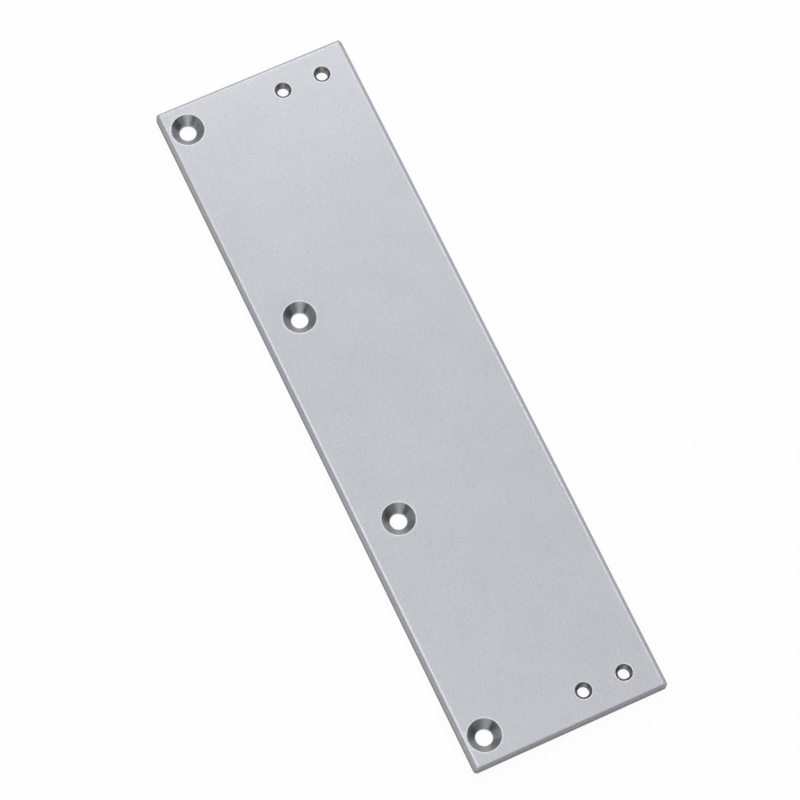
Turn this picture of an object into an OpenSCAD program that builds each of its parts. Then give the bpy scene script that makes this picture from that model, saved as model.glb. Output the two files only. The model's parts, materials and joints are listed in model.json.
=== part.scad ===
// Door closer drop plate: a flat bar with chamfered long edges, cut to length and chamfered at its ends.
// Every chamfer's crest is softened, and the four upright corners are rounded.
// Four tapped holes near one long edge take the screws of the closer's body.
// Four countersunk holes near the other long edge take the screws that fix the plate to the door.
// The plate lies on its back face with its front face up and its length along X.
// The origin is the middle of the back face. All sizes are in millimetres.

/* [Plate] */
// Length of the plate, end to end
plate_length = 330; // [325:0.5:360]
// Width of the plate, edge to edge
plate_width = 90.5; // [80:0.5:120]
// Thickness of the plate
plate_thickness = 5.5; // [5:0.1:8]
// Radius of the four upright corners
corner_radius = 1.7; // [0.5:0.1:3]

/* [Front edge] */
// Width of the chamfer along each long side
side_chamfer = 1.75; // [1:0.05:2.5]
// Radius that softens the crest between a long side's chamfer and the front face
side_crest_radius = 2; // [0.5:0.1:2.4]
// Width of the chamfer across each end
end_chamfer = 1.25; // [0.8:0.05:2.5]
// Radius that softens the crest between an end's chamfer and the front face
end_crest_radius = 1.5; // [0.5:0.1:2]
// Slope of every chamfer, down from the front face
chamfer_angle = 45; // [30:1:55]

/* [Closer holes] */
// Spacing of the tapped holes along the plate
closer_spacing_x = 304.8; // [280:0.1:311]
// Spacing of the two rows of tapped holes across the plate
closer_spacing_y = 19.05; // [12:0.05:25]
// Distance from the outer row of tapped holes to the nearer long edge
closer_row_inset = 14.8; // [8:0.1:25]
// Diameter of the tapped holes at the crests of the thread
closer_hole_diameter = 5.2; // [4.8:0.1:6.4]
// Diameter of the tapped holes' chamfered mouths, on both faces
closer_mouth_diameter = 7.6; // [6.6:0.1:8.5]
// Included angle of the tapped holes' mouths
closer_mouth_angle = 90; // [80:1:120]

/* [Door holes] */
// Distance from the end countersunk holes to the plate's ends
end_hole_end_inset = 12.6; // [11:0.1:30]
// Distance from the end countersunk holes to the nearer long edge
end_hole_side_inset = 10.3; // [10:0.1:20]
// Spacing of the two middle countersunk holes along the plate
middle_hole_spacing = 101.6; // [60:0.1:200]
// Distance from the middle countersunk holes to the nearer long edge
middle_hole_side_inset = 18.2; // [10:0.1:24]
// Diameter of the clearance holes for the door screws
door_hole_diameter = 7.6; // [6.5:0.1:9]
// Diameter of the countersinks at the front face
countersink_diameter = 14.8; // [12:0.1:16]
// Included angle of the countersinks
countersink_angle = 90; // [82:1:100]

/* [Hidden] */
$fn = 96;
// Flat steps that draw the crest between a chamfer and the front face
crest_steps = 6;
// How far each cutter runs past the plate's faces
cut_margin = 1;
// Rows of holes, measured from the plate's middle line
closer_outer_row = plate_width / 2 - closer_row_inset;
closer_inner_row = closer_outer_row - closer_spacing_y;
end_row = end_hole_side_inset - plate_width / 2;
middle_row = middle_hole_side_inset - plate_width / 2;
end_hole_spacing = plate_length - 2 * end_hole_end_inset;

// Points of an edge: the wall's foot, the chamfer's foot, then round the crest to the front face
function edge_points(wall, chamfer, radius) = concat(
    [
        [wall, 0],
        [wall, plate_thickness - chamfer * tan(chamfer_angle)]
    ],
    [
        for (step = [0 : crest_steps])
            let (
                angle = 90 - chamfer_angle * (1 - step / crest_steps),
                axis = wall - chamfer - radius * tan(chamfer_angle / 2)
            )
            [
                axis + radius * cos(angle),
                plate_thickness - radius + radius * sin(angle)
            ]
    ]
);

// Section through a bar with the same chamfer and crest at both edges
module bar_section(width, chamfer, radius) {
    edge = edge_points(width / 2, chamfer, radius);
    mirrored = [for (index = [len(edge) - 1 : -1 : 0]) [-edge[index][0], edge[index][1]]];
    polygon(concat(edge, mirrored));
}

// Outline of the plate seen from the front, with rounded corners
module outline() {
    square([plate_length - 2 * corner_radius, plate_width], center = true);
    square([plate_length, plate_width - 2 * corner_radius], center = true);
    for (x = [-1, 1])
        for (y = [-1, 1])
            translate([x * (plate_length / 2 - corner_radius), y * (plate_width / 2 - corner_radius)])
                circle(r = corner_radius);
}

// The plate before it is drilled: what its outline, its long sides and its ends have in common
module blank() {
    intersection() {
        linear_extrude(height = plate_thickness) outline();
        rotate([90, 0, 90])
            translate([0, 0, -plate_length / 2 - cut_margin])
                linear_extrude(height = plate_length + 2 * cut_margin)
                    bar_section(plate_width, side_chamfer, side_crest_radius);
        rotate([90, 0, 0])
            translate([0, 0, -plate_width / 2 - cut_margin])
                linear_extrude(height = plate_width + 2 * cut_margin)
                    bar_section(plate_length, end_chamfer, end_crest_radius);
    }
}

// Cutter for a tapped hole: a straight bore with a chamfered mouth on each face
module closer_hole() {
    bore = closer_hole_diameter / 2;
    slope = tan(closer_mouth_angle / 2);
    depth = (closer_mouth_diameter / 2 - bore) / slope;
    wide = closer_mouth_diameter / 2 + cut_margin * slope;
    rotate_extrude()
        polygon([
            [0, -cut_margin],
            [wide, -cut_margin],
            [bore, depth],
            [bore, plate_thickness - depth],
            [wide, plate_thickness + cut_margin],
            [0, plate_thickness + cut_margin]
        ]);
}

// Cutter for a door screw's hole: a straight bore that opens in a countersink at the front face
module door_hole() {
    bore = door_hole_diameter / 2;
    slope = tan(countersink_angle / 2);
    depth = (countersink_diameter / 2 - bore) / slope;
    wide = countersink_diameter / 2 + cut_margin * slope;
    rotate_extrude()
        polygon([
            [0, -cut_margin],
            [bore, -cut_margin],
            [bore, plate_thickness - depth],
            [wide, plate_thickness + cut_margin],
            [0, plate_thickness + cut_margin]
        ]);
}

// Two copies of what follows, on one row across the plate and evenly about its middle
module pair(spacing, row) {
    for (side = [-1, 1])
        translate([side * spacing / 2, row, 0]) children();
}

module drop_plate() {
    color([0.77, 0.77, 0.79])
        difference() {
            blank();
            pair(closer_spacing_x, closer_outer_row) closer_hole();
            pair(closer_spacing_x, closer_inner_row) closer_hole();
            pair(end_hole_spacing, end_row) door_hole();
            pair(middle_hole_spacing, middle_row) door_hole();
        }
}

drop_plate();
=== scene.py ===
import json
import math

import bpy
import numpy as np
from mathutils import Matrix, Vector
from mathutils.geometry import delaunay_2d_cdt


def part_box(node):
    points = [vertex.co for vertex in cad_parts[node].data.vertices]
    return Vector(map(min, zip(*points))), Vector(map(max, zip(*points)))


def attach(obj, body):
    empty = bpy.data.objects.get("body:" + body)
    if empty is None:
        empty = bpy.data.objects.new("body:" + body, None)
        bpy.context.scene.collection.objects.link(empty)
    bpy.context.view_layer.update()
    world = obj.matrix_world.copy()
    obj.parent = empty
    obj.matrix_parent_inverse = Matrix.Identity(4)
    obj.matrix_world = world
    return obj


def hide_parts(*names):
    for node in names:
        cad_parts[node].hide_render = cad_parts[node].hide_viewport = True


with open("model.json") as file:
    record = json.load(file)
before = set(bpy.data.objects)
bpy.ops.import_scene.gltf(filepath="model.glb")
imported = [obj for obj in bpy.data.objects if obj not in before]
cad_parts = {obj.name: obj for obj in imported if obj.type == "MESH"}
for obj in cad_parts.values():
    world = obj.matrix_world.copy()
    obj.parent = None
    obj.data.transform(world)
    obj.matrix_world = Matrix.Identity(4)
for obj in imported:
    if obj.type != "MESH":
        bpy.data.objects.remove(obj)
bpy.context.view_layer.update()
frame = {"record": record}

MM = 0.001
TURN = 2 * math.pi

# Sizes of the plate in millimetres. The box, the bores and the holes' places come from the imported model.
# The chamfers, the countersinks and the tapped holes' mouths slope at 45 degrees, as deep as they are wide
low_corner, high_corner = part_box("drop_plate")
LENGTH, WIDTH, THICKNESS = (round((high - low) / MM, 3) for low, high in zip(low_corner, high_corner))
CHAMFER_ANGLE = math.radians(45)
SIDE_CHAMFER = 1.75
SIDE_CREST_RADIUS = 2.0
END_CHAMFER = 1.25
END_CREST_RADIUS = 1.5
CORNER_RADIUS = 1.7
MITRE_RADIUS = 0.3
CHAMFER_FOOT_RADIUS = 0.25
BACK_EDGE_RADIUS = 0.2
COUNTERSINK_RADIUS = 7.4
COUNTERSINK_RIM_RADIUS = 0.6
COUNTERSINK_FOOT_RADIUS = 0.2
MOUTH_RADIUS = 3.8
MOUTH_RIM_RADIUS = 0.6

# Thread of the tapped holes: a right-hand unified coarse thread, a quarter of an inch across
THREAD_PITCH = 1.27
THREAD_MAJOR_RADIUS = 3.175
THREAD_ROOT_FLAT = THREAD_PITCH / 8
THREAD_FLANK_SLOPE = math.tan(math.radians(60))

# How finely each surface is divided: steps in millimetres, and counts
GRID_STEP = 5.5
EDGE_RING_STEP = 1.0
HOLE_RING_STEP = 0.5
CORNER_STEPS = 12
COUNTERSINK_COLUMNS = 128
TAPPED_COLUMNS = 96
THREAD_RINGS = 96
RIM_STEPS = 6
FINISHED_RIM_STEPS = 4
SMALL_STEPS = 3

# Steps in millimetres over which the edge's and the thread's slopes are taken, and the steepest tilt
# that is turned into a slope
LEVEL_STEP = 1e-5
THREAD_SLOPE_STEP = 0.006
STEEPEST_TILT = math.radians(89.9)

# The sides' and ends' rings are one ring where their heights agree to this many decimals
LEVEL_DECIMALS = 6

# How far a square corner stands out past its rounding, as a share of the rounding's radius
CORNER_REACH = math.sqrt(2) - 1

# Loose points inside the flat faces: rings round each hole, by radius, and what they keep clear of
HALO_RATIOS = (1.07, 1.3, 1.7)
HALO_CLEARANCE = 2.5
EDGE_CLEARANCE = 0.8
FLAT_TOLERANCE = 1e-6
SMALLEST_AREA = 1e-7

# The plate's material slots, and its map round the holes and down them
FINISH_SLOT = 0
TURNED_SLOT = 1
TAPPED_SLOT = 2
TURNING_MAP = "turning"

# Painted light on the coat: a painted highlight where it shows paler than on the face, from 0 to 1,
# and painted shade where it shows duller, down to -1, and how far 1 makes its colour lighter
PAINTED_LIGHT_NAME = "painted_edge_light"
RIM_PAINTED_HIGHLIGHT = 1.0
CREST_PAINTED_HIGHLIGHT = 0.7
WALL_PAINTED_SHADE = 0.65
PAINTED_LIGHT_LIMITS = (-1.0, 1.0)
PAINTED_LIGHT_CONTRAST = 0.25

# The part of a noise pattern's values that most of it lies in
NOISE_LIMITS = (0.25, 0.75)

# The satin finish. A pattern's scale is how many of its grains fit in a metre, its contrast is how far
# it makes the colour lighter and darker, and its height is in metres
FINISH_COLOUR = (0.582, 0.589, 0.626)
FINISH_METAL = 0.14
FINISH_ROUGHNESS = 0.3
FINISH_ROUGHNESS_REACH = 0.02
GRAIN_SCALE = 2300.0
GRAIN_DETAIL = 3.0
GRAIN_HARSHNESS = 0.6
GRAIN_CONTRAST = 0.165
GRAIN_HEIGHT = 6e-6
FLECK_SCALE = 420.0
FLECK_CONTRAST = 0.003
MOTTLE_SCALE = 55.0
MOTTLE_CONTRAST = 0.015

# The bare metal of the holes. The grooves' scale is how many fit in the plate's length
TURNED_COLOUR = (0.366, 0.370, 0.388)
TURNED_ROUGHNESS = 0.3
TURNED_ANISOTROPY = 0.95
# The tapped holes' metal is darker than the countersinks': partly its own colour, partly painted shade in
# the narrow threaded holes
TAPPED_COLOUR_AND_SHADE = (0.25, 0.252, 0.262)
TAPPED_ROUGHNESS = 0.42
TAPPED_ANISOTROPY = 0.5
BARE_ROUGHNESS_REACH = 0.03
GROOVE_SCALE = 2600.0
GROOVE_CONTRAST = 0.07
GROOVE_HEIGHT = 2e-6
STAIN_SCALE = 700.0
STAIN_DETAIL = 3.0
STAIN_CONTRAST = 0.04

# The floor: how white it shows, the share of real light on light paint that keeps the plate's shadow,
# and the paint's lightness for the light that it throws back on the plate. Its sizes are in metres
FLOOR_WHITE = 1.0
FLOOR_SHADOW_SHARE = 0.06
FLOOR_SHADOW_PAINT = 0.85
FLOOR_BOUNCE_PAINT = 0.35
FLOOR_DROP = 0.0002
FLOOR_FLAT_RADIUS = 8.0
FLOOR_RIM_RADIUS = 10.0
FLOOR_RIM_RISE = 1.6
FLOOR_RIM_STEPS = 8
FLOOR_COLUMNS = 96

# Softboxes round the plate, all at one distance in metres: azimuth and elevation in degrees,
# length along the plate and height in metres, brightness where 1 is white
SOFTBOX_DISTANCE = 2.0
SOFTBOXES = {
    "overhead_softbox": (0, 90, 0.7, 0.7, 2.6),
    "high_far_softbox": (180, 70, 0.7, 0.7, 0.45),
    "high_side_softbox": (240, 70, 0.7, 0.7, 3.4),
    "key_softbox": (157.5, 47, 0.7, 0.7, 8.2),
    "right_softbox": (112.5, 47, 0.7, 0.7, 4.6),
    "end_softbox": (22.5, 47, 0.7, 0.7, 0.8),
    "camera_side_softbox": (341, 47, 0.7, 1.1, 3.1),
    "low_far_softbox": (135, 24, 0.7, 0.7, 1.2),
    "low_near_softbox": (315, 24, 0.7, 0.7, 1.1),
    "crest_strip": (240.5, 52.5, 1.2, 0.2, 10.0),
}
WORLD_LEVEL = 0.02

# The camera stands where the photograph was taken from, in millimetres about the plate.
# Its field of view is in degrees, its sensor in millimetres, and what it sees lies between two
# distances in metres
CAMERA_PLACE = (511.01, -287.26, 1593.44)
CAMERA_AIM = (0.39, -2.64, 0.0)
CAMERA_UP = (-0.85394, 0.39091, 0.34347)
FIELD_OF_VIEW = 11.6756
SENSOR_WIDTH = 36.0
NEAREST_SEEN = 0.01
FARTHEST_SEEN = 100.0


def mount(name):
    """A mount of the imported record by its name."""
    return next(found for found in frame["record"]["mounts"] if found["name"] == name)


def hole_centres(name):
    """Centres in millimetres of the holes that a bolt pattern holds."""
    found = mount(name)
    middle_x, middle_y = (value / MM for value in found["pos_m"][:2])
    half_x = found["dims"]["spacing_x_mm"] / 2
    half_y = found["dims"].get("spacing_y_mm", 0) / 2
    rows = (-half_y, half_y) if half_y else (0,)
    return [(middle_x + side * half_x, middle_y + row) for side in (-1, 1) for row in rows]


def rounded_profile(path, roundings, spacing):
    """Points and outward normals along a path whose inner corners are rounded.

    The solid lies to the left of the path. Each rounding is a radius and a number of steps,
    and the path's first and last points only give the direction there."""
    path = [np.array(point, float) for point in path]
    points = []
    normals = []
    for before, corner, after, (radius, steps) in zip(path, path[1:], path[2:], roundings):
        arriving = (corner - before) / np.linalg.norm(corner - before)
        leaving = (after - corner) / np.linalg.norm(after - corner)
        first = math.atan2(-arriving[0], arriving[1])
        turn = math.atan2(arriving[0] * leaving[1] - arriving[1] * leaving[0], arriving @ leaving)
        start = corner - arriving * radius * math.tan(turn / 2)
        centre = start - radius * np.array((math.cos(first), math.sin(first)))
        if points:
            straight = start - points[-1]
            parts = max(1, round(np.linalg.norm(straight) / spacing))
            for part in range(1, parts):
                points.append(points[-1] + straight / parts)
                normals.append(normals[-1])
        for step in range(steps + 1):
            angle = first + turn * step / steps
            normal = np.array((math.cos(angle), math.sin(angle)))
            points.append(centre + radius * normal)
            normals.append(normal)
    return np.array(points), np.array(normals)


class Skin:
    """The plate's mesh while it is put together, in millimetres."""

    def __init__(self):
        self.points = []
        self.normals = []
        # painted highlight and painted shade at each point, from -1 to 1
        self.painted_light = []
        self.faces = []
        self.face_slots = []
        self.corner_maps = []

    def add_points(self, points, normals, painted_light):
        """Adds points and gives their numbers."""
        first = len(self.points)
        self.points.extend(map(tuple, points))
        self.normals.extend(map(tuple, normals))
        self.painted_light.extend(np.broadcast_to(painted_light, len(points)))
        return np.arange(first, len(self.points))

    def add_ring(self, anchors, directions, point, normal, painted_light=0.0):
        """Adds one profile point swept round: a ring at a distance from its anchors."""
        ring = np.column_stack((anchors + directions * point[0], np.full(len(anchors), point[1])))
        ring_normals = np.column_stack((directions * normal[0], np.full(len(anchors), normal[1])))
        return self.add_points(ring, ring_normals, painted_light)

    def add_hole_rings(self, anchors, directions, points, normals):
        """Adds a hole's profile, from the front face down. Its rim carries a painted highlight as far as the
        coat reaches.
        """
        rings = []
        for number, (point, normal) in enumerate(zip(points, normals)):
            # the rim's rings take a painted highlight
            painted_light = RIM_PAINTED_HIGHLIGHT if number <= FINISHED_RIM_STEPS else 0.0
            rings.append(self.add_ring(anchors, directions, point, normal, painted_light))
        return rings

    def add_face(self, corners, slot, corner_map):
        """Adds a face by the numbers of its corners, with their places on the map."""
        self.faces.append(corners)
        self.face_slots.append(slot)
        self.corner_maps.extend(corner_map)

    def join_rings(self, rings, along, slots):
        """Lays faces between neighbouring rings, each band of them in its slot.

        along holds each ring's distance down the profile."""
        columns = len(rings[0])
        for lower, upper, start, end, slot in zip(rings, rings[1:], along, along[1:], slots):
            for column in range(columns):
                following = (column + 1) % columns
                corners = (lower[column], lower[following], upper[following], upper[column])
                near = column / columns
                far = (column + 1) / columns
                corner_map = ((start, near), (start, far), (end, far), (end, near))
                self.add_face(corners, slot, corner_map)

    def fill_flat(self, outline, hole_rims, height, facing):
        """Fills the flat between the outline and the rims with triangles.

        hole_rims holds a centre, a radius and the rim's points for each hole."""
        flat = [Vector(self.points[number][:2]) for number in outline]
        edges = loop_edges(0, len(outline))
        numbers = list(outline)
        for _, _, rim in hole_rims:
            edges += loop_edges(len(flat), len(rim))
            flat += [Vector(self.points[number][:2]) for number in rim]
            numbers += list(rim)
        inner = inner_points(hole_rims)
        inner_height = np.full(len(inner), height)
        inner_normals = np.tile((0.0, 0.0, facing), (len(inner), 1))
        numbers += list(self.add_points(np.column_stack((inner, inner_height)), inner_normals, 0.0))
        flat += [Vector(point) for point in inner]
        found_points, _, triangles, origins, _, _ = delaunay_2d_cdt(flat, edges, [], 0, FLAT_TOLERANCE)
        for triangle in triangles:
            places = [found_points[corner] for corner in triangle]
            middle = sum(places, Vector((0, 0))) / 3
            in_hole = any((middle - Vector(centre)).length < radius * math.cos(math.pi / len(rim))
                          for centre, radius, rim in hole_rims)
            area = (places[1] - places[0]).cross(places[2] - places[0]) / 2
            if in_hole or abs(area) < SMALLEST_AREA:
                continue
            corners = [numbers[origins[corner][0]] for corner in triangle]
            if area * facing < 0:
                corners.reverse()
                places.reverse()
            corner_map = [(place.x / LENGTH, place.y / LENGTH) for place in places]
            self.add_face(corners, FINISH_SLOT, corner_map)


def loop_edges(first, count):
    """Edges of a closed loop of points that are numbered in a row."""
    return [(first + step, first + (step + 1) % count) for step in range(count)]


def inner_points(hole_rims):
    """Loose points inside a flat face: an even grid, and rings that thin out round each hole."""
    stops = [side_stops(length)[1:-1] for length in (LENGTH, WIDTH)]
    grid = np.array([(x, y) for x in stops[0] for y in stops[1]])
    reach = HALO_RATIOS[-1]
    for centre, radius, _ in hole_rims:
        away = np.linalg.norm(grid - np.array(centre), axis=1)
        grid = grid[away > radius * reach + HALO_CLEARANCE]
    halos = []
    for centre, radius, rim in hole_rims:
        for level, ratio in enumerate(HALO_RATIOS):
            count = len(rim) // 2 ** (level + 1)
            angles = (np.arange(count) + 0.5) * TURN / count
            halo = np.array(centre) + radius * ratio * np.column_stack((np.cos(angles), np.sin(angles)))
            halos.append(halo)
    halo = np.concatenate(halos)
    end_inset = END_CHAMFER + crest_setback(END_CREST_RADIUS)
    side_inset = SIDE_CHAMFER + crest_setback(SIDE_CREST_RADIUS)
    flat_reach = np.array((LENGTH / 2 - end_inset, WIDTH / 2 - side_inset)) - EDGE_CLEARANCE
    halo = halo[(np.abs(halo) < flat_reach).all(axis=1)]
    return np.concatenate((grid, halo))


def side_stops(length):
    """Evenly spaced places along a side of that length, about its middle."""
    return np.linspace(-length / 2, length / 2, round(length / GRID_STEP) + 1)


def edge_course(half_length, half_width):
    """Anchors and directions of the columns that run once round the plate's edge.

    The anchors lie on a box of half that length and width, and the corners' columns fan out."""
    across = side_stops(LENGTH) * half_length / (LENGTH / 2)
    up = side_stops(WIDTH) * half_width / (WIDTH / 2)
    sides = (
        ([(half_length, y) for y in up], (1.0, 0.0)),
        ([(x, half_width) for x in across[::-1]], (0.0, 1.0)),
        ([(-half_length, y) for y in up[::-1]], (-1.0, 0.0)),
        ([(x, -half_width) for x in across], (0.0, -1.0)),
    )
    anchors = []
    directions = []
    for number, (stops, direction) in enumerate(sides):
        anchors += stops
        directions += [direction] * len(stops)
        for step in range(1, CORNER_STEPS):
            angle = (number + step / CORNER_STEPS) * math.pi / 2
            anchors.append(stops[-1])
            directions.append((math.cos(angle), math.sin(angle)))
    return np.array(anchors), np.array(directions)


def lengths_along(points):
    """Distance of each point from the first, along the profile, as a share of the plate's length."""
    steps = np.linalg.norm(np.diff(points, axis=0), axis=1)
    return np.concatenate(((0,), np.cumsum(steps))) / LENGTH


def crest_setback(radius):
    """Width of front face that a crest of that radius takes up, inside its chamfer."""
    return radius * math.tan(CHAMFER_ANGLE / 2)


def edge_section(chamfer, crest_radius):
    """Heights, insets and tilts of an edge, from the back face up over wall, chamfer and crest."""
    path = (
        (-chamfer, 0),
        (0, 0),
        (0, THICKNESS - chamfer),
        (-chamfer, THICKNESS),
        (-chamfer - 2 * crest_radius, THICKNESS),
    )
    roundings = (
        (BACK_EDGE_RADIUS, SMALL_STEPS),
        (CHAMFER_FOOT_RADIUS, SMALL_STEPS),
        (crest_radius, RIM_STEPS),
    )
    points, normals = rounded_profile(path, roundings, EDGE_RING_STEP)
    return points[:, 1], -points[:, 0], np.arctan2(normals[:, 1], normals[:, 0])


def mitred_corner(end_inset, side_inset):
    """Radius of a level ring's corner: the upright corner, until the chamfers have cut past it."""
    beyond = math.hypot(CORNER_RADIUS - end_inset, CORNER_RADIUS - side_inset) - CORNER_RADIUS
    return max(MITRE_RADIUS, beyond / CORNER_REACH)


def painted_edge_light(normals):
    """Painted light along the edge: a painted highlight, palest in the middle of a crest, and painted shade
    on the walls and chamfers.
    """
    past_chamfer = np.arcsin(np.abs(normals[:, 2])) / CHAMFER_ANGLE - 1
    crest = np.sin(math.pi * np.clip(past_chamfer, 0, 1))
    wall = np.clip(1 - 2 * past_chamfer, 0, 1)
    return CREST_PAINTED_HIGHLIGHT * crest - WALL_PAINTED_SHADE * wall


def add_edge(skin):
    """The plate's edge as level rings. The sides' and ends' chamfers and crests meet in mitres."""
    end_section = edge_section(END_CHAMFER, END_CREST_RADIUS)
    side_section = edge_section(SIDE_CHAMFER, SIDE_CREST_RADIUS)
    levels = np.unique(np.concatenate((end_section[0], side_section[0])).round(LEVEL_DECIMALS))
    insets = [np.interp(levels, section[0], section[1]) for section in (end_section, side_section)]
    tilts = [np.interp(levels, section[0], section[2]) for section in (end_section, side_section)]
    slopes = np.tan(np.clip(tilts, -STEEPEST_TILT, STEEPEST_TILT))
    rings = []
    for level, end_inset, side_inset, end_slope, side_slope in zip(levels, *insets, *slopes):
        if level < THICKNESS / 2:
            corner = CORNER_RADIUS - end_inset
            corner_slope = -end_slope
        else:
            corner = mitred_corner(end_inset, side_inset)
            ahead = mitred_corner(end_inset + end_slope * LEVEL_STEP, side_inset + side_slope * LEVEL_STEP)
            corner_slope = (ahead - corner) / LEVEL_STEP
        anchors, directions = edge_course(LENGTH / 2 - end_inset - corner, WIDTH / 2 - side_inset - corner)
        towards_x, towards_y = np.abs(directions).T
        rise = end_slope * towards_x + side_slope * towards_y + corner_slope * (towards_x + towards_y - 1)
        normals = np.column_stack((directions, rise))
        normals /= np.linalg.norm(normals, axis=1)[:, None]
        points = np.column_stack((anchors + directions * corner, np.full(len(anchors), level)))
        # each ring's points carry a painted highlight on the crest and painted shade on the wall and chamfer
        rings.append(skin.add_points(points, normals, painted_edge_light(normals)))
    along = lengths_along(np.column_stack((insets[1], levels)))
    skin.join_rings(rings, along, [FINISH_SLOT] * len(rings))
    return rings[0], rings[-1]


def add_door_hole(skin, centre, bore_radius):
    """A countersunk hole, from its rim at the front face down to the back face."""
    cone_depth = COUNTERSINK_RADIUS - bore_radius
    path = (
        (COUNTERSINK_RADIUS + 1, THICKNESS),
        (COUNTERSINK_RADIUS, THICKNESS),
        (bore_radius, THICKNESS - cone_depth),
        (bore_radius, 0),
        (bore_radius + 1, 0),
    )
    roundings = (
        (COUNTERSINK_RIM_RADIUS, RIM_STEPS),
        (COUNTERSINK_FOOT_RADIUS, SMALL_STEPS),
        (BACK_EDGE_RADIUS, SMALL_STEPS),
    )
    points, normals = rounded_profile(path, roundings, HOLE_RING_STEP)
    anchors, directions = round_course(centre, COUNTERSINK_COLUMNS)
    rings = skin.add_hole_rings(anchors, directions, points, normals)
    skin.join_rings(rings, lengths_along(points), hole_slots(rings, TURNED_SLOT))
    return (centre, points[0][0], rings[0]), (centre, points[-1][0], rings[-1])


def round_course(centre, columns):
    """Anchors and directions of the columns that run once round a hole."""
    angles = np.arange(columns) * TURN / columns
    return np.tile(centre, (columns, 1)), np.column_stack((np.cos(angles), np.sin(angles)))


def hole_slots(rings, bare_slot):
    """Slots between a hole's rings: the finish laps a little way over the rim, and the rest is bare."""
    return [FINISH_SLOT] * FINISHED_RIM_STEPS + [bare_slot] * (len(rings) - FINISHED_RIM_STEPS)


def thread_radius(angle, height, bore_radius):
    """Radius of the cut thread at an angle round the hole and a height."""
    turns = height / THREAD_PITCH - angle / TURN
    from_root = np.abs((turns + 0.5) % 1 - 0.5) * THREAD_PITCH
    flank = THREAD_MAJOR_RADIUS - THREAD_FLANK_SLOPE * (from_root - THREAD_ROOT_FLAT / 2)
    return np.clip(flank, bore_radius, THREAD_MAJOR_RADIUS)


def tapped_radius(angle, height, bore_radius):
    """Radius of a tapped hole: its thread, or its chamfered mouths where they cut deeper."""
    front_mouth = MOUTH_RADIUS - (THICKNESS - height)
    back_mouth = MOUTH_RADIUS - height
    mouths = np.maximum(front_mouth, back_mouth)
    return np.maximum(thread_radius(angle, height, bore_radius), mouths)


def add_closer_hole(skin, centre, bore_radius):
    """A tapped hole with a chamfered mouth on each face and a thread between them."""
    mouth_path = (
        (MOUTH_RADIUS + 1, THICKNESS),
        (MOUTH_RADIUS, THICKNESS),
        (bore_radius, THICKNESS - MOUTH_RADIUS + bore_radius),
    )
    rim_points, rim_normals = rounded_profile(mouth_path, ((MOUTH_RIM_RADIUS, RIM_STEPS),), HOLE_RING_STEP)
    anchors, directions = round_course(centre, TAPPED_COLUMNS)
    around = np.column_stack((-directions[:, 1], directions[:, 0]))
    angles = np.arange(TAPPED_COLUMNS) * TURN / TAPPED_COLUMNS
    rings = skin.add_hole_rings(anchors, directions, rim_points, rim_normals)
    top = rim_points[-1][1]
    heights = np.linspace(top, THICKNESS - top, THREAD_RINGS + 1)[1:-1]
    for height in heights:
        radius = tapped_radius(angles, height, bore_radius)
        rise = slope_of(lambda z: tapped_radius(angles, z, bore_radius), height, THREAD_SLOPE_STEP)
        swing = slope_of(lambda a: tapped_radius(a, height, bore_radius), angles, THREAD_SLOPE_STEP / radius)
        flat_normal = -directions + around * (swing / radius)[:, None]
        normals = np.column_stack((flat_normal, rise))
        normals /= np.linalg.norm(normals, axis=1)[:, None]
        ring = np.column_stack((anchors + directions * radius[:, None], np.full(len(angles), height)))
        rings.append(skin.add_points(ring, normals, 0.0))
    for point, normal in zip(rim_points[::-1], rim_normals[::-1]):
        mirrored = (point[0], THICKNESS - point[1])
        rings.append(skin.add_ring(anchors, directions, mirrored, (normal[0], -normal[1])))
    along = np.linspace(0, THICKNESS / LENGTH, len(rings))
    skin.join_rings(rings, along, hole_slots(rings, TAPPED_SLOT))
    rim_radius = rim_points[0][0]
    return (centre, rim_radius, rings[0]), (centre, rim_radius, rings[-1])


def slope_of(function, at, step):
    """Slope of a function by a small step to either side."""
    return (function(at + step) - function(at - step)) / (2 * step)


def build_plate():
    """The whole plate as one closed mesh object."""
    skin = Skin()
    back_outline, front_outline = add_edge(skin)
    rims = []
    for name, add_hole in (
        ("closer_holes", add_closer_hole),
        ("end_door_holes", add_door_hole),
        ("middle_door_holes", add_door_hole),
    ):
        bore_radius = mount(name)["dims"]["hole_r_mm"]
        rims += [add_hole(skin, centre, bore_radius) for centre in hole_centres(name)]
    skin.fill_flat(front_outline, [front for front, _ in rims], THICKNESS, 1)
    skin.fill_flat(back_outline, [back for _, back in rims], 0.0, -1)

    mesh = bpy.data.meshes.new("plate_with_threads")
    mesh.from_pydata([tuple(value * MM for value in point) for point in skin.points], [], skin.faces)
    mesh.polygons.foreach_set("use_smooth", [True] * len(skin.faces))
    mesh.polygons.foreach_set("material_index", skin.face_slots)
    turning = mesh.uv_layers.new(name=TURNING_MAP)
    turning.uv.foreach_set("vector", np.array(skin.corner_maps, np.float32).ravel())
    # the painted highlight and painted shade of each point, for the finish to read
    painted_light = mesh.attributes.new(PAINTED_LIGHT_NAME, "FLOAT", "POINT")
    painted_light.data.foreach_set("value", np.array(skin.painted_light, np.float32))
    mesh.normals_split_custom_set_from_vertices(skin.normals)
    mesh.update()
    plate = bpy.data.objects.new("plate_with_threads", mesh)
    bpy.context.scene.collection.objects.link(plate)
    return plate


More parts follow.
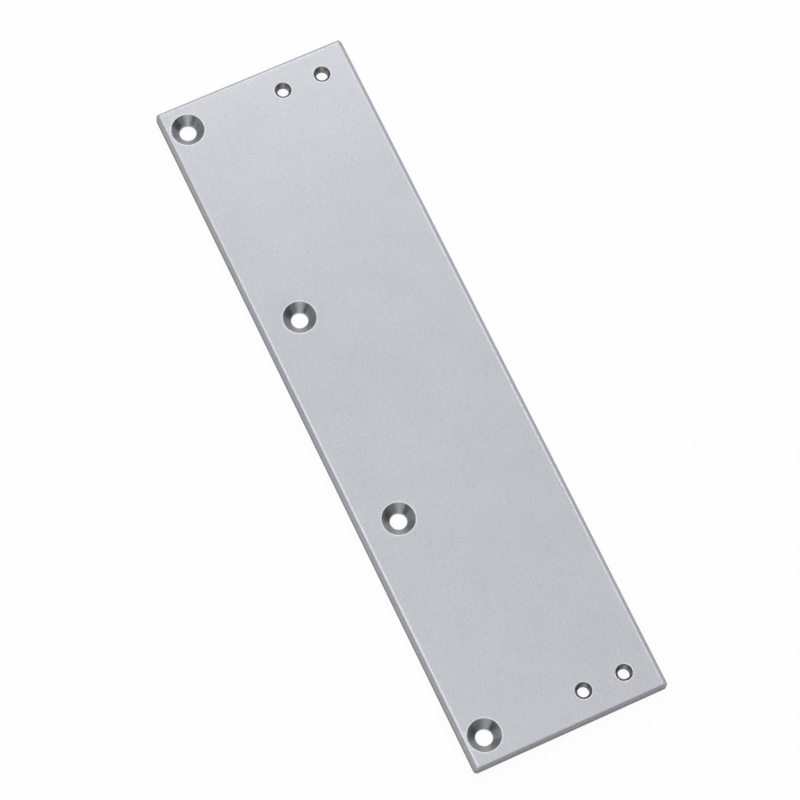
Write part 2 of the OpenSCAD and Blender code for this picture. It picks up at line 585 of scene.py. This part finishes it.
class Shader:
    """A material's nodes while they are put together."""

    def __init__(self, name):
        self.material = bpy.data.materials.new(name)
        self.material.use_nodes = True
        self.tree = self.material.node_tree
        self.tree.nodes.clear()

    def node(self, kind, settings=(), **inputs):
        """Adds a node. An input is a value, or the output socket that feeds it."""
        made = self.tree.nodes.new(kind)
        for name, value in dict(settings).items():
            setattr(made, name, value)
        for name, value in inputs.items():
            self.feed(made.inputs[name.replace("_", " ")], value)
        return made

    def feed(self, socket, value):
        """Sets an input to a value, or links it to the output socket that feeds it."""
        if isinstance(value, bpy.types.NodeSocket):
            self.tree.links.new(value, socket)
        else:
            socket.default_value = value

    def noise(self, place, scale, **inputs):
        """A noise pattern, mostly within NOISE_LIMITS."""
        return self.node("ShaderNodeTexNoise", Vector=place, Scale=scale, **inputs).outputs["Fac"]

    def vary(self, pattern, reach, middle=1.0, limits=NOISE_LIMITS):
        """A number that follows a pattern, by the same reach to either side of its middle."""
        made = self.node(
            "ShaderNodeMapRange",
            Value=pattern,
            From_Min=limits[0],
            From_Max=limits[1],
            To_Min=middle - reach,
            To_Max=middle + reach,
        )
        return made.outputs["Result"]

    def combine(self, operation, first, second):
        """A number worked out from two others."""
        made = self.node("ShaderNodeMath", {"operation": operation})
        self.feed(made.inputs[0], first)
        self.feed(made.inputs[1], second)
        return made.outputs["Value"]

    def tint(self, colour, value):
        """A colour made lighter or darker by a number near 1."""
        made = self.node("ShaderNodeVectorMath", {"operation": "SCALE"}, Vector=colour, Scale=value)
        return made.outputs["Vector"]

    def bump(self, pattern, height):
        """A surface that rises and falls with a pattern."""
        return self.node("ShaderNodeBump", Height=pattern, Distance=height).outputs["Normal"]

    def show(self, surface):
        """Makes a surface the material's own, and gives the material."""
        self.node("ShaderNodeOutputMaterial", Surface=surface)
        return self.material


def satin_finish():
    """Sprayed silver finish: a fine grain, a faint mottling, a painted highlight on crests and rims, and
    painted shade on the walls and chamfers.
    """
    shader = Shader("satin_silver_finish")
    place = shader.node("ShaderNodeTexCoord").outputs["Object"]
    grain = shader.noise(place, GRAIN_SCALE, Detail=GRAIN_DETAIL, Roughness=GRAIN_HARSHNESS)
    fleck = shader.noise(place, FLECK_SCALE)
    mottle = shader.noise(place, MOTTLE_SCALE)
    painted_light = shader.node("ShaderNodeAttribute", {"attribute_name": PAINTED_LIGHT_NAME}).outputs["Fac"]
    lightness = shader.vary(grain, GRAIN_CONTRAST)
    lightness = shader.combine("MULTIPLY", lightness, shader.vary(fleck, FLECK_CONTRAST))
    lightness = shader.combine("MULTIPLY", lightness, shader.vary(mottle, MOTTLE_CONTRAST))
    # painted highlight on crests and rims, and painted shade on walls and chamfers, in the finish's colour
    lightness = shader.combine("MULTIPLY", lightness, shader.vary(painted_light, PAINTED_LIGHT_CONTRAST, limits=PAINTED_LIGHT_LIMITS))
    surface = shader.node(
        "ShaderNodeBsdfPrincipled",
        Base_Color=shader.tint(FINISH_COLOUR, lightness),
        Metallic=FINISH_METAL,
        Roughness=shader.vary(mottle, FINISH_ROUGHNESS_REACH, FINISH_ROUGHNESS),
        Specular_IOR_Level=0.0,
        Normal=shader.bump(grain, GRAIN_HEIGHT),
    )
    return shader.show(surface.outputs["BSDF"])


def bare_metal(name, colour, roughness, anisotropy):
    """Bare metal as a cutter leaves it, with fine grooves round the hole and faint stains."""
    shader = Shader(name)
    place = shader.node("ShaderNodeTexCoord").outputs["Object"]
    turning = shader.node("ShaderNodeUVMap", {"uv_map": TURNING_MAP}).outputs["UV"]
    down = shader.node("ShaderNodeSeparateXYZ", Vector=turning).outputs["X"]
    grooves = shader.node("ShaderNodeTexNoise", {"noise_dimensions": "1D"}, W=down, Scale=GROOVE_SCALE)
    groove_height = grooves.outputs["Fac"]
    stain = shader.noise(place, STAIN_SCALE, Detail=STAIN_DETAIL)
    lightness = shader.vary(groove_height, GROOVE_CONTRAST)
    lightness = shader.combine("MULTIPLY", lightness, shader.vary(stain, STAIN_CONTRAST))
    tangent = shader.node("ShaderNodeTangent", {"direction_type": "UV_MAP", "uv_map": TURNING_MAP})
    surface = shader.node(
        "ShaderNodeBsdfPrincipled",
        Base_Color=shader.tint(colour, lightness),
        Metallic=1.0,
        Roughness=shader.vary(stain, BARE_ROUGHNESS_REACH, roughness),
        Anisotropic=anisotropy,
        Tangent=tangent.outputs["Tangent"],
        Normal=shader.bump(groove_height, GROOVE_HEIGHT),
    )
    return shader.show(surface.outputs["BSDF"])


def floor_paint():
    """White to the eye and in reflections, with a small share of real light that keeps the shadow."""
    shader = Shader("white_floor")
    rays = shader.node("ShaderNodeLightPath").outputs
    seen = shader.combine("MAXIMUM", rays["Is Camera Ray"], rays["Is Glossy Ray"])
    seen = shader.combine("MAXIMUM", seen, rays["Is Transmission Ray"])
    lightness = shader.node(
        "ShaderNodeMapRange",
        Value=seen,
        To_Min=FLOOR_BOUNCE_PAINT,
        To_Max=FLOOR_SHADOW_PAINT,
    ).outputs["Result"]
    paint = shader.node("ShaderNodeBsdfDiffuse", Color=lightness).outputs["BSDF"]
    white_colour = (FLOOR_WHITE, FLOOR_WHITE, FLOOR_WHITE, 1.0)
    white = shader.node("ShaderNodeEmission", Color=white_colour, Strength=1.0).outputs["Emission"]
    white_share = shader.combine("MULTIPLY", seen, 1 - FLOOR_SHADOW_SHARE)
    mixed = shader.node("ShaderNodeMixShader", Fac=white_share)
    shader.tree.links.new(paint, mixed.inputs[1])
    shader.tree.links.new(white, mixed.inputs[2])
    return shader.show(mixed.outputs["Shader"])


def build_floor():
    """A wide white floor that sweeps up at its far rim, so that level views see no horizon."""
    rings = [(FLOOR_FLAT_RADIUS / 2, -FLOOR_DROP), (FLOOR_FLAT_RADIUS, -FLOOR_DROP)]
    for step in range(1, FLOOR_RIM_STEPS + 1):
        share = step / FLOOR_RIM_STEPS
        radius = FLOOR_FLAT_RADIUS + (FLOOR_RIM_RADIUS - FLOOR_FLAT_RADIUS) * share
        rings.append((radius, FLOOR_RIM_RISE * share ** 2 - FLOOR_DROP))
    angles = np.arange(FLOOR_COLUMNS) * TURN / FLOOR_COLUMNS
    points = [(0.0, 0.0, -FLOOR_DROP)]
    for radius, height in rings:
        points += [(radius * math.cos(angle), radius * math.sin(angle), height) for angle in angles]
    faces = [(0, 1 + first, 1 + second) for first, second in loop_edges(0, FLOOR_COLUMNS)]
    for ring in range(len(rings) - 1):
        start = 1 + ring * FLOOR_COLUMNS
        for first, second in loop_edges(start, FLOOR_COLUMNS):
            faces.append((first, first + FLOOR_COLUMNS, second + FLOOR_COLUMNS, second))
    mesh = bpy.data.meshes.new("floor")
    mesh.from_pydata(points, [], faces)
    mesh.polygons.foreach_set("use_smooth", [True] * len(faces))
    mesh.materials.append(floor_paint())
    floor = bpy.data.objects.new("floor", mesh)
    bpy.context.scene.collection.objects.link(floor)


def add_softbox(name, azimuth, elevation, length, height, brightness):
    """A softbox that faces the plate, with its length along the plate. A brightness of 1 is white."""
    light = bpy.data.lights.new(name, "AREA")
    light.shape = "RECTANGLE"
    light.size = length
    light.size_y = height
    light.energy = brightness * math.pi * length * height
    lamp = bpy.data.objects.new(name, light)
    turn = math.radians(azimuth)
    lift = math.radians(elevation)
    towards = Vector((math.cos(lift) * math.cos(turn), math.cos(lift) * math.sin(turn), math.sin(lift)))
    along_plate = Vector((1, 0, 0))
    upright = towards.cross(along_plate).normalized()
    facing = Matrix((upright.cross(towards), upright, towards)).transposed()
    lamp.matrix_world = Matrix.Translation(towards * SOFTBOX_DISTANCE) @ facing.to_4x4()
    bpy.context.scene.collection.objects.link(lamp)
    return lamp


def light_scene():
    """Dark surroundings, and the softboxes."""
    world = bpy.data.worlds.new("studio")
    world.use_nodes = True
    background = world.node_tree.nodes["Background"]
    background.inputs["Color"].default_value = (1, 1, 1, 1)
    background.inputs["Strength"].default_value = WORLD_LEVEL
    bpy.context.scene.world = world
    for name, place in SOFTBOXES.items():
        add_softbox(name, *place)


def add_camera():
    """The camera, at the photograph's place and angle."""
    data = bpy.data.cameras.new("camera")
    data.sensor_width = SENSOR_WIDTH
    data.angle = math.radians(FIELD_OF_VIEW)
    data.clip_start = NEAREST_SEEN
    data.clip_end = FARTHEST_SEEN
    camera = bpy.data.objects.new("camera", data)
    place = Vector(CAMERA_PLACE)
    back = (place - Vector(CAMERA_AIM)).normalized()
    right = Vector(CAMERA_UP).cross(back).normalized()
    up = back.cross(right)
    turn = Matrix((right, up, back)).transposed()
    camera.matrix_world = Matrix.Translation(place * MM) @ turn.to_4x4()
    bpy.context.scene.collection.objects.link(camera)
    bpy.context.scene.camera = camera


plate = build_plate()
for material in (
    satin_finish(),
    bare_metal("bare_turned_metal", TURNED_COLOUR, TURNED_ROUGHNESS, TURNED_ANISOTROPY),
    bare_metal("bare_tapped_metal", TAPPED_COLOUR_AND_SHADE, TAPPED_ROUGHNESS, TAPPED_ANISOTROPY),
):
    plate.data.materials.append(material)
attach(plate, "root")
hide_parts("drop_plate")
build_floor()
light_scene()
add_camera()
bpy.context.scene.view_settings.view_transform = "Standard"
